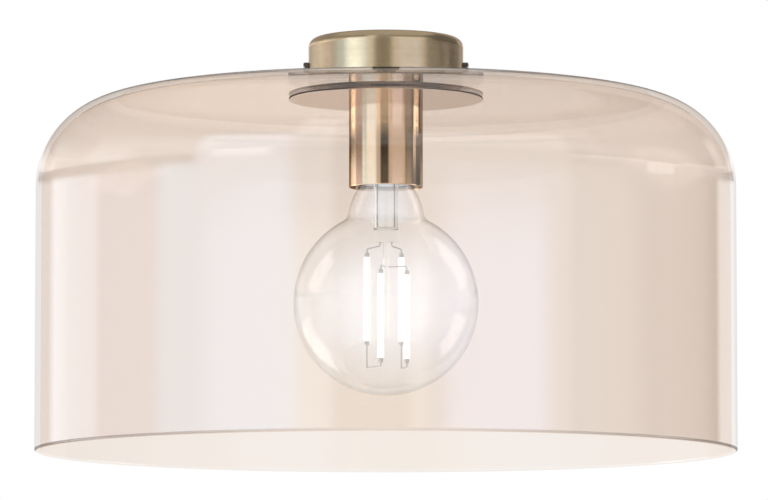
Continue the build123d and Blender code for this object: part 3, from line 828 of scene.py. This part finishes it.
ZINC = PlatedMetal("zinc_plate")
NICKEL = PlatedMetal("nickel_plate", (0.8, 0.78, 0.74), (0.62, 0.6, 0.56), 0.22, 0.8)
TIN = PlatedMetal("tinned_copper_plate", (0.72, 0.7, 0.66), (0.55, 0.5, 0.44), 0.35, 1.0)
MACHINED_BRASS = PlatedMetal("machined_brass", (0.78, 0.58, 0.3), (0.58, 0.4, 0.19), 0.28, 0.8)
WHITE_NYLON = Moulded("white_nylon", (0.84, 0.84, 0.81), (0.76, 0.75, 0.7), 0.42)
SILICONE = ThinGlass("clear_silicone_washer", (0.94, 0.92, 0.9), (0.8, 0.77, 0.74), 0.03, 0.3, 0.1)
SMOKE: Colour = (0.953, 0.913, 0.88)
SMOKE_ASLANT: Colour = (0.94, 0.885, 0.845)
CLEAR: Colour = (0.999, 0.999, 0.998)


@dataclass
class Canopy:
    """The round brass canopy with its strap and fixings above the glass."""

    brushed: SpunBrass = SpunBrass(
        "antique_brass_brushed",
        colour=(0.54, 0.42, 0.27),
        tarnish=(0.38, 0.28, 0.17),
        tarnish_share=0.4,
        rough=0.18,
        ring_rough=0.1,
        rings_per_mm=3.5,
        ring_depth=0.03,
        ring_strength=0.25,
    )
    bronze: Moulded = Moulded("bronze_paint", (0.05, 0.04, 0.03), (0.09, 0.07, 0.05), 0.32)
    threaded: PlatedMetal = PlatedMetal("threaded_zinc", rough=0.35, pitch=0.7)
    tube_brass: PlatedMetal = PlatedMetal(
        "threaded_brass", (0.76, 0.56, 0.28), (0.55, 0.38, 0.18), 0.3, 0.8, 1.0
    )

    def dress(self) -> None:
        """Dresses the canopy and what is in and on it."""
        dress({
            "canopy": self.brushed,
            "canopy_screws": self.bronze,
            "ceiling_bracket": ZINC,
            "tube_nut": ZINC,
            "lock_washer": ZINC,
            "earth_washer": ZINC,
            "earth_screw": self.threaded,
            "threaded_tube": self.tube_brass,
            "upper_gasket": SILICONE,
            "lower_gasket": SILICONE,
            "glass_bush": WHITE_NYLON,
        })


@dataclass
class Wiring:
    """The terminal block in the canopy and the leads to the holder."""

    brown: Moulded = Moulded("brown_sheath", (0.2, 0.08, 0.035), (0.15, 0.06, 0.03), 0.3, 2.0, 0.05)
    blue: Moulded = Moulded("blue_sheath", (0.025, 0.14, 0.42), (0.02, 0.1, 0.33), 0.3, 2.0, 0.05)
    striped: StripedInsulation = StripedInsulation(
        "green_yellow_sheath", (0.05, 0.32, 0.08), (0.04, 0.25, 0.06), 0.3, 2.0, 0.05
    )

    def dress(self) -> None:
        """Dresses the terminals and the leads."""
        dress({
            "terminal_block": WHITE_NYLON,
            "terminal_sleeves": MACHINED_BRASS,
            "terminal_screws": ZINC,
            "terminal_fixings": ZINC,
            "earth_tag": TIN,
            "live_lead": self.brown,
            "neutral_lead": self.blue,
            "earth_lead": self.striped,
        })


@dataclass
class Lampholder:
    """The disc and the cup under the glass, and the lampholder in the cup."""

    # The disc's edge carries a painted highlight and painted shade.
    disc: EdgedBrass = EdgedBrass(
        "polished_brass_disc",
        colour=(0.84, 0.75, 0.66),
        tarnish=(0.7, 0.58, 0.48),
        tarnish_share=0.25,
        rough=0.16,
        rings_per_mm=3.0,
        ring_strength=0.05,
        edge_tint=(0.6, 0.55, 0.52),
    )
    cup: SpunBrass = SpunBrass(
        "polished_brass_cup",
        colour=(0.86, 0.68, 0.49),
        tarnish=(0.66, 0.47, 0.3),
        tarnish_share=0.25,
        rough=0.05,
        ring_rough=0.03,
        rings_per_mm=3.0,
        ring_strength=0.03,
        edge_tint=(0.3, 0.22, 0.15),
    )
    phenolic: Moulded = Moulded("black_phenolic_moulded", (0.02, 0.02, 0.02), (0.035, 0.032, 0.03), 0.35, 4.0)
    ceramic: Moulded = Moulded("white_ceramic_fired", (0.86, 0.85, 0.81), (0.78, 0.76, 0.7), 0.5, 6.0, 0.2)

    def dress(self) -> None:
        """Dresses the disc, the cup and the holder."""
        dress({
            "clamp_disc": self.disc,
            "holder_cup": self.cup,
            "clamp_nut": ZINC,
            "holder_cap": self.phenolic,
            "holder_skirt": self.phenolic,
            "holder_insert": MACHINED_BRASS,
            "contact_block": self.ceramic,
            "holder_terminals": MACHINED_BRASS,
            "holder_screws": ZINC,
            "centre_contact": MACHINED_BRASS,
            "screw_shell": MACHINED_BRASS,
        })


@dataclass
class GlassShade:
    """The drum-shaped shade of tinted glass."""

    radius: float = 180.0
    wall: float = 3.0
    apex: float = -26.5
    rim: float = -214.0
    shoulder: float = 46.0
    dome: float = 1660.0
    hole: float = 7.2
    bend: float = 35.0
    lip_turn: float = 150.0
    segments: int = 288
    dome_steps: int = 16
    shoulder_steps: int = 36
    wall_steps: int = 24
    lip_steps: tuple[int, int] = (6, 12)
    inner_steps: tuple[int, int] = (24, 16)
    outside: ThinGlass = ThinGlass("smoked_glass_outside", SMOKE, SMOKE_ASLANT, 0.12, ripple=0.02, rough=0.05)
    inside: ThinGlass = ThinGlass("smoked_glass_inside", SMOKE, SMOKE_ASLANT, 0.03, 0.15, 0.02)
    under: ThinGlass = ThinGlass("smoked_glass_under_dome", SMOKE, SMOKE_ASLANT, 0.03, 1.0, 0.02)
    over: ThinGlass = ThinGlass(
        "smoked_glass_over_dome", SMOKE, SMOKE_ASLANT, 0.12, 1.0, 0.02, both_sides=True
    )
    # The edge's dark aslant tint is painted shade along the near side of the rim.
    edge: RimGlass = RimGlass("smoked_glass_edge", (0.97, 0.95, 0.93), (0.28, 0.25, 0.23), 0.04, 0.2, rim=0.5)

    def runs(self) -> list[tuple[GlassFace, list[Point]]]:
        """Gives the outline from the hole over the top, round the rim and back inside.

        Returns:
            Runs of points, each with the face that it makes.
        """
        middle = self.apex - self.dome
        reach = self.radius - self.shoulder
        rise = math.sqrt((self.dome - self.shoulder) ** 2 - reach**2)
        turn = (reach, middle + rise)
        meet = math.degrees(math.atan2(reach, rise))
        inner = self.dome - self.wall
        outside = math.degrees(math.asin(self.hole / self.dome))
        inside = math.degrees(math.asin(self.hole / inner))
        lip = (self.radius - self.wall / 2, self.rim + self.wall / 2)
        drop = (turn[1] - lip[1]) / self.wall_steps
        levels = [turn[1] - drop * step for step in range(1, self.wall_steps)]
        bead, hollow = self.wall / 2, self.shoulder - self.wall
        return [
            (GlassFace.OVER_DOME, arc((0.0, middle), self.dome, outside, meet, self.dome_steps)[:-1]),
            (GlassFace.OUTSIDE, arc(turn, self.shoulder, meet, 90.0, self.shoulder_steps)),
            (GlassFace.OUTSIDE, [(self.radius, level) for level in levels]),
            (GlassFace.EDGE, arc(lip, bead, 90.0, self.lip_turn, self.lip_steps[0])[:-1]),
            (GlassFace.INSIDE, arc(lip, bead, self.lip_turn, 270.0, self.lip_steps[1])),
            (GlassFace.INSIDE, [(self.radius - self.wall, level) for level in reversed(levels)]),
            (GlassFace.INSIDE, arc(turn, hollow, 90.0, self.bend, self.inner_steps[0])),
            (GlassFace.UNDER_DOME, arc(turn, hollow, self.bend, meet, self.inner_steps[1])[1:]),
            (GlassFace.UNDER_DOME, arc((0.0, middle), inner, meet, inside, self.dome_steps)[1:]),
        ]

    def build(self) -> None:
        """Builds the glass, with the outside of the rounded rim as its own finish."""
        runs = self.runs()
        vertices, faces = lathe([point for _, run in runs for point in run], self.segments)
        marks = [face.value for face, run in runs for _ in run] * self.segments
        piece = Piece("shade_glass", "glass_shade", "smoked_glass", Body.FIXTURE)
        piece.add(vertices, faces, marks)
        # In the order of GlassFace.
        piece.finish([self.outside, self.inside, self.edge, self.under, self.over])


@dataclass
class Bulb:
    """The clear globe bulb with its cap, stem and glowing filaments."""

    radius: float = 47.5
    centre: float = -136.972
    neck: float = 19.8
    mouth: float = 12.7
    mouth_low: float = -75.372
    mouth_top: float = -72.072
    bulge: float = 1.4
    soften: float = 2.5
    wall: float = 0.8
    segments: int = 192
    neck_steps: int = 24
    joint_steps: int = 8
    globe_steps: int = 72
    globe_end: float = 179.5
    stick: float = 1.6
    stick_length: float = 47.8
    stick_ring: float = 11.0
    stick_sides: int = 24
    core: float = 0.02
    collar: float = 2.2
    collar_share: float = 0.72
    collar_edge: float = 0.2
    collar_reach: float = 0.05
    ends: tuple[Point, ...] = ((0.35, 0.0), (0.1, 0.12), (0.0, 0.4))
    upper_top: float = -110.572
    lower_top: float = -120.372
    upper_angles: tuple[float, float] = (153.0, 44.0)
    lower_angles: tuple[float, float] = (256.0, 347.0)
    # The outside's dark aslant tint is partly the longer path through the glass and partly painted shade
    # round the globe's outline.
    outside: ThinGlass = ThinGlass("clear_bulb_outside", CLEAR, (0.5, 0.48, 0.47), 0.05, 0.7, rim=9.0)
    # The inside of the globe carries a painted glow round the lit filaments.
    inside: ThinGlass = ThinGlass(
        "clear_bulb_inside", CLEAR, (0.85, 0.84, 0.83), 0.1, 0.3, rim=6.0, glow=0.36
    )
    stem_glass: SolidGlass = SolidGlass("clear_stem_glass")
    phosphor: LitPhosphor = LitPhosphor("lit_phosphor_coat")
    vitrite: Moulded = Moulded(
        "black_glass_insulator", (0.015, 0.015, 0.02), (0.03, 0.03, 0.035), 0.12, 2.0, 0.05
    )
    board: CircuitBoard = CircuitBoard("green_lacquer_board", (0.03, 0.2, 0.09), (0.02, 0.14, 0.07), 0.35)
    wire: PlatedMetal = PlatedMetal("drawn_wire", (0.5, 0.48, 0.45), (0.35, 0.33, 0.3), 0.3, 1.5)

    def side(self, inset: float) -> list[Point]:
        """Gives the outer or inner side of the envelope from its mouth down to its lowest point.

        Args:
            inset: How far the side is inside the outer one.

        Returns:
            The points from the top down.
        """
        radius, neck, mouth = self.radius - inset, self.neck - inset, self.mouth - inset
        meet = math.degrees(math.asin(neck / radius))
        joint = (neck, self.centre + radius * math.cos(math.radians(meet)))
        start = (mouth, self.mouth_low)
        run = math.dist(start, joint)
        out = ((start[1] - joint[1]) / run, (joint[0] - start[0]) / run)
        curve = []
        for step in range(self.neck_steps + 1):
            share = step / self.neck_steps
            swell = self.bulge * 4 * share * (1 - share)
            curve.append(tuple(a + (b - a) * share + swell * n for a, b, n in zip(start, joint, out)))
        globe = arc((0.0, self.centre), radius, meet, self.globe_end, self.globe_steps)
        before = [point for point in curve if math.dist(point, joint) > self.soften]
        after = [point for point in globe if math.dist(point, joint) > self.soften]
        turn = []
        for step in range(1, self.joint_steps):
            share = step / self.joint_steps
            a, b, c = (1 - share) ** 2, 2 * share * (1 - share), share**2
            turn.append(tuple(a * p + b * q + c * r for p, q, r in zip(before[-1], joint, after[0])))
        return [*before, *turn, *after]

    def build(self) -> None:
        """Builds the envelope and the filaments."""
        outer, inner = self.side(0.0), self.side(self.wall)
        top = [(self.mouth - self.wall, self.mouth_top), (self.mouth, self.mouth_top)]
        vertices, faces = lathe([*outer, *reversed(inner), *top], self.segments)
        envelope = Piece("bulb_envelope", "bulb_glass", "clear_glass", Body.BULB)
        envelope.add(vertices, faces, ([0] * len(outer) + [1] * (len(inner) + len(top))) * self.segments)
        envelope.finish([self.outside, self.inside])
        sticks = Piece("filament_sticks", "led_filaments", "lit_phosphor", Body.BULB)
        for angles, level in ((self.upper_angles, self.upper_top), (self.lower_angles, self.lower_top)):
            for angle in angles:
                self.add_stick(sticks, angle, level)
        sticks.finish([self.phosphor, self.wire])

    def add_stick(self, sticks: Piece, angle: float, level: float) -> None:
        """Adds one filament with a metal collar at each end.

        Args:
            sticks: The piece that it belongs to.
            angle: Its place on the ring in degrees.
            level: The level of its top.
        """
        turn = math.radians(angle)
        at = (self.stick_ring * math.cos(turn), self.stick_ring * math.sin(turn))
        low = level - self.stick_length
        slim = self.stick * self.collar_share
        half = [(self.core, 0.0), (slim - self.collar_edge, 0.0)]
        half += [(slim, -self.collar_edge), (slim, -self.collar)]
        half += [(self.stick - inset, -self.collar - down) for inset, down in self.ends]
        points = [(r, level + z) for r, z in half] + [(r, low - z) for r, z in reversed(half)]
        vertices, faces = lathe([*points, (self.core, (level + low) / 2)], self.stick_sides, at)
        reach = self.collar - self.collar_reach
        edges = ((level - reach) * MM, (low + reach) * MM)
        marks = []
        for face in faces:
            middle = sum(vertices[corner].z for corner in face) / len(face)
            marks.append(int(not edges[1] < middle < edges[0]))
        sticks.add(vertices, faces, marks)

    def dress(self) -> None:
        """Dresses the parts of the bulb that keep their CAD shape."""
        dress({
            "bulb_cap": NICKEL,
            "bulb_tip": TIN,
            "bulb_insulator": self.vitrite,
            "bulb_driver": self.board,
            "bulb_stem": self.stem_glass,
            "bulb_wires": self.wire,
        })


@dataclass(frozen=True)
class Softbox:
    """A bright panel of the studio, as metal and glass mirror it.

    Its sides are in degrees round the light from the camera's side, and its low and high edge in degrees
    above the horizon. Soft blurs the sides, soft_rise both level edges, and fade the high edge alone.
    """

    left: float
    right: float
    low: float
    high: float
    colour: Colour
    soft: float = 3.0
    soft_rise: float = 3.0
    fade: float = 0.0

    def mask(self, graph: Graph, turn: Value, rise: Value) -> Value:
        """Gives where the panel is.

        Args:
            graph: The world's node tree.
            turn: Degrees round the light from the camera's side, growing to the right.
            rise: Degrees above the horizon.

        Returns:
            One on the panel and nought off it.
        """
        across = graph.step(turn, self.left, self.soft) - graph.step(turn, self.right, self.soft)
        top = graph.step(rise, self.high, self.soft_rise + self.fade)
        return across * (graph.step(rise, self.low, self.soft_rise) - top)


@dataclass
class Studio:
    """The camera, the soft light and the floor round the object."""

    camera_place: Triple = (-1.0, -2896.0, -386.4)
    camera_pitch: float = 5.46
    lens: float = 265.1
    sensor: float = 36.0
    floor_level: float = -1200.0
    floor_half: float = 20000.0
    lamps: tuple[tuple[str, Triple, float], ...] = (
        ("lamp_left", (-1300.0, -1200.0, 700.0), 5.0),
        ("lamp_right", (1500.0, -800.0, 900.0), 3.0),
    )
    lamp_width: float = 1000.0
    lamp_aim: Triple = (0.0, 0.0, -120.0)
    sight: Point = (0.05, 100.0)
    clear_faces: int = 40
    fill: Colour = (0.75, 0.75, 0.75)
    dim: Colour = (0.03, 0.03, 0.03)
    panels: tuple[Softbox, ...] = (
        # In front of the light, at its left and in its middle.
        Softbox(-64.0, -31.0, -50.0, 27.0, (1.35, 1.62, 1.95), 4.0),
        Softbox(-62.0, -28.0, -50.0, 6.0, (0.25, 0.6, 1.0), 6.0, 0.5),
        Softbox(-79.0, -64.0, -50.0, 6.7, (1.25, 1.8, 2.3), 4.0, 0.25),
        Softbox(-31.0, -17.0, -50.0, 45.0, (0.72, 0.75, 0.82)),
        Softbox(-31.0, 14.0, -50.0, 5.7, (1.05, 1.05, 0.9), 5.0, 0.5),
        Softbox(-58.0, -38.0, 7.3, 12.0, (1.2, 1.1, 1.0), 3.0, 0.4),
        # In front of it, at its right.
        Softbox(8.5, 62.0, -50.0, 27.0, (0.75, 0.74, 0.76), 4.0),
        Softbox(18.0, 54.0, -50.0, 6.0, (0.95, 1.2, 1.75), 6.0, 0.5),
        Softbox(60.0, 90.0, -50.0, 6.4, (0.65, 0.65, 0.65), 10.0, 0.5),
        Softbox(62.0, 93.0, 7.2, 8.5, (0.75, 0.75, 0.75), 3.0, 0.3),
        # At its left side, and further back.
        Softbox(-141.0, -108.0, -50.0, 6.38, (1.95, 2.15, 2.4), 4.0, 0.12),
        Softbox(-108.0, -79.0, -50.0, 6.3, (1.2, 1.2, 1.45), 4.0, 0.12),
        Softbox(-163.0, -70.0, 6.3, 7.6, (0.28, 0.26, 0.24), 3.0, 0.15),
        Softbox(-163.0, -141.0, -50.0, 6.3, (0.95, 0.95, 0.95), 3.0, 0.12),
        Softbox(-163.0, -141.0, 7.9, 11.0, (0.5, 0.47, 0.44), 3.0, 0.2, 2.0),
        # At its right side, and further back.
        Softbox(94.0, 108.0, 6.35, 7.2, (1.2, 1.2, 1.2), 1.5, 0.1),
        Softbox(93.0, 112.0, 7.25, 7.8, (1.5, 1.5, 1.5), 3.0, 0.15),
        Softbox(108.0, 163.0, 6.4, 7.2, (0.3, 0.3, 0.3), 3.0, 0.3),
        Softbox(139.0, 163.0, -50.0, 6.35, (1.15, 1.15, 1.15), 3.0, 0.12),
        Softbox(149.0, 163.0, 7.9, 10.0, (0.4, 0.37, 0.34), 3.0, 0.2, 1.5),
        Softbox(139.0, 149.0, 9.0, 19.0, (0.65, 0.6, 0.55), 3.0, 0.5, 2.0),
        # Low at both sides, mirrored by the bulb.
        Softbox(-145.0, -114.0, -38.0, -7.0, (2.8, 2.8, 2.8), 4.0, 3.0),
        Softbox(98.0, 124.0, -38.0, -7.0, (3.2, 3.2, 3.2), 4.0, 3.0),
        # Behind it.
        Softbox(-190.0, -163.0, -40.0, 9.5, (0.95, 0.95, 0.95), 3.0, 1.5),
        Softbox(163.0, 190.0, -40.0, 9.5, (0.95, 0.95, 0.95), 3.0, 1.5),
        Softbox(-190.0, -155.0, -40.0, 2.0, (0.4, 0.4, 0.36), 5.0, 1.5),
        Softbox(155.0, 190.0, -40.0, 2.0, (0.2, 0.2, 0.17), 5.0, 1.5),
        Softbox(-173.0, -150.0, 8.0, 50.0, (0.5, 0.42, 0.36), 3.0, 1.5),
        Softbox(150.0, 173.0, 8.0, 50.0, (0.6, 0.53, 0.47), 3.0, 1.5),
        Softbox(-190.0, -173.0, 30.0, 50.0, (0.5, 0.45, 0.4)),
        Softbox(173.0, 190.0, 30.0, 50.0, (0.5, 0.45, 0.4)),
        # Higher at the sides, mirrored by the shoulders of the glass.
        Softbox(-163.0, -64.0, 7.4, 13.0, (0.28, 0.28, 0.28), 3.0, 0.3),
        Softbox(-148.0, -92.0, 8.3, 16.5, (0.95, 0.9, 0.86), 8.0, 0.6, 6.1),
        Softbox(-116.0, -62.0, 9.0, 25.0, (0.55, 0.55, 0.6), 6.0, 1.3, 3.0),
        Softbox(112.0, 150.0, 7.4, 9.5, (0.5, 0.5, 0.5), 3.0, 0.3),
        # High all round, overhead and underfoot.
        Softbox(-150.0, 75.0, 12.0, 50.0, (0.45, 0.45, 0.45)),
        Softbox(75.0, 150.0, 12.0, 50.0, (0.2, 0.2, 0.2)),
        Softbox(-190.0, 190.0, 50.0, 95.0, (0.65, 0.65, 0.65)),
        Softbox(-190.0, 190.0, -95.0, -50.0, (0.5, 0.49, 0.47), 3.0, 5.0),
    )

    def build_world(self) -> None:
        """Builds a white world to look at, with softer light and panels to mirror."""
        world = bpy.data.worlds.new("studio")
        bpy.context.scene.world = world
        graph = Graph(world)
        seen = graph.node("ShaderNodeLightPath", out="Is Camera Ray")
        bent = graph.node("ShaderNodeLightPath", out="Is Glossy Ray")
        bent = bent + graph.node("ShaderNodeLightPath", out="Is Transmission Ray")
        way = graph.node("ShaderNodeTexCoord", out="Generated")
        sideways, deep, upright = (graph.axis(way, axis) for axis in Axis)
        turn = graph.node("ShaderNodeMath", {"operation": "ARCTAN2"}, {0: sideways, 1: deep * -1.0})
        rise = graph.node("ShaderNodeMath", {"operation": "ARCSINE"}, {0: upright})
        turn, rise = turn * math.degrees(1.0), rise * math.degrees(1.0)
        mirrored = graph.joined(*self.dim)
        for panel in self.panels:
            mask = panel.mask(graph, turn, rise)
            sockets = {0: panel.colour, 1: graph.joined(mask, mask, mask), 2: mirrored}
            mirrored = graph.node("ShaderNodeVectorMath", {"operation": "MULTIPLY_ADD"}, sockets)
        light = graph.blend(graph.fit(bent, (0.0, 1.0), (0.0, 1.0)), self.fill, mirrored)
        sky = graph.node("ShaderNodeBackground", sockets={"Color": graph.blend(seen, light, (1.0, 1.0, 1.0))})
        graph.output(sky, "ShaderNodeOutputWorld")

    def build_lamps(self) -> None:
        """Builds two large soft lamps, seen only by their light."""
        for name, place, power in self.lamps:
            data = bpy.data.lights.new(name, "AREA")
            data.shape, data.size, data.energy = "DISK", self.lamp_width * MM, power
            lamp = bpy.data.objects.new(name, data)
            lamp.location = Vector(place) * MM
            aim = Vector(self.lamp_aim) * MM - lamp.location
            lamp.rotation_euler = aim.to_track_quat("-Z", "Y").to_euler()
            lamp.visible_camera = lamp.visible_glossy = lamp.visible_transmission = False
            bpy.context.scene.collection.objects.link(lamp)

    def build_floor(self) -> None:
        """Builds the plain pale floor under the light."""
        half, level = self.floor_half * MM, self.floor_level * MM
        corners = [(-half, -half, level), (half, -half, level), (half, half, level), (-half, half, level)]
        mesh = bpy.data.meshes.new("floor")
        mesh.from_pydata(corners, [], [[0, 1, 2, 3]])
        mesh.materials.append(PaleFloor("pale_floor").material())
        floor = bpy.data.objects.new("floor", mesh)
        floor.visible_glossy = False
        bpy.context.scene.collection.objects.link(floor)
        floor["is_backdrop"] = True

    def build_camera(self) -> None:
        """Builds the camera at the photograph's viewing angle."""
        data = bpy.data.cameras.new("camera")
        data.lens, data.sensor_width = self.lens, self.sensor
        data.clip_start, data.clip_end = self.sight
        camera = bpy.data.objects.new("camera", data)
        camera.location = Vector(self.camera_place) * MM
        camera.rotation_euler = (math.radians(90.0 + self.camera_pitch), 0.0, 0.0)
        bpy.context.scene.collection.objects.link(camera)
        bpy.context.scene.camera = camera

    def build(self) -> None:
        """Builds the whole studio; sight passes through many faces of glass."""
        scene = bpy.context.scene
        scene.view_settings.view_transform = "Standard"
        scene.cycles.transparent_max_bounces = self.clear_faces
        self.build_camera()
        self.build_world()
        self.build_lamps()
        self.build_floor()


def corners() -> list[list[float]]:
    """Gives the lowest and highest corner of the shown object."""
    return [list(corner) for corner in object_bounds()]


def main() -> None:
    """Builds the studio and dresses the light piece by piece."""
    logging.basicConfig(level=logging.INFO, format="%(message)s")
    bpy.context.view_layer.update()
    Studio().build()
    Canopy().dress()
    Wiring().dress()
    Lampholder().dress()
    GlassShade().build()
    bulb = Bulb()
    bulb.build()
    bulb.dress()


if __name__ == "__main__":
    main()
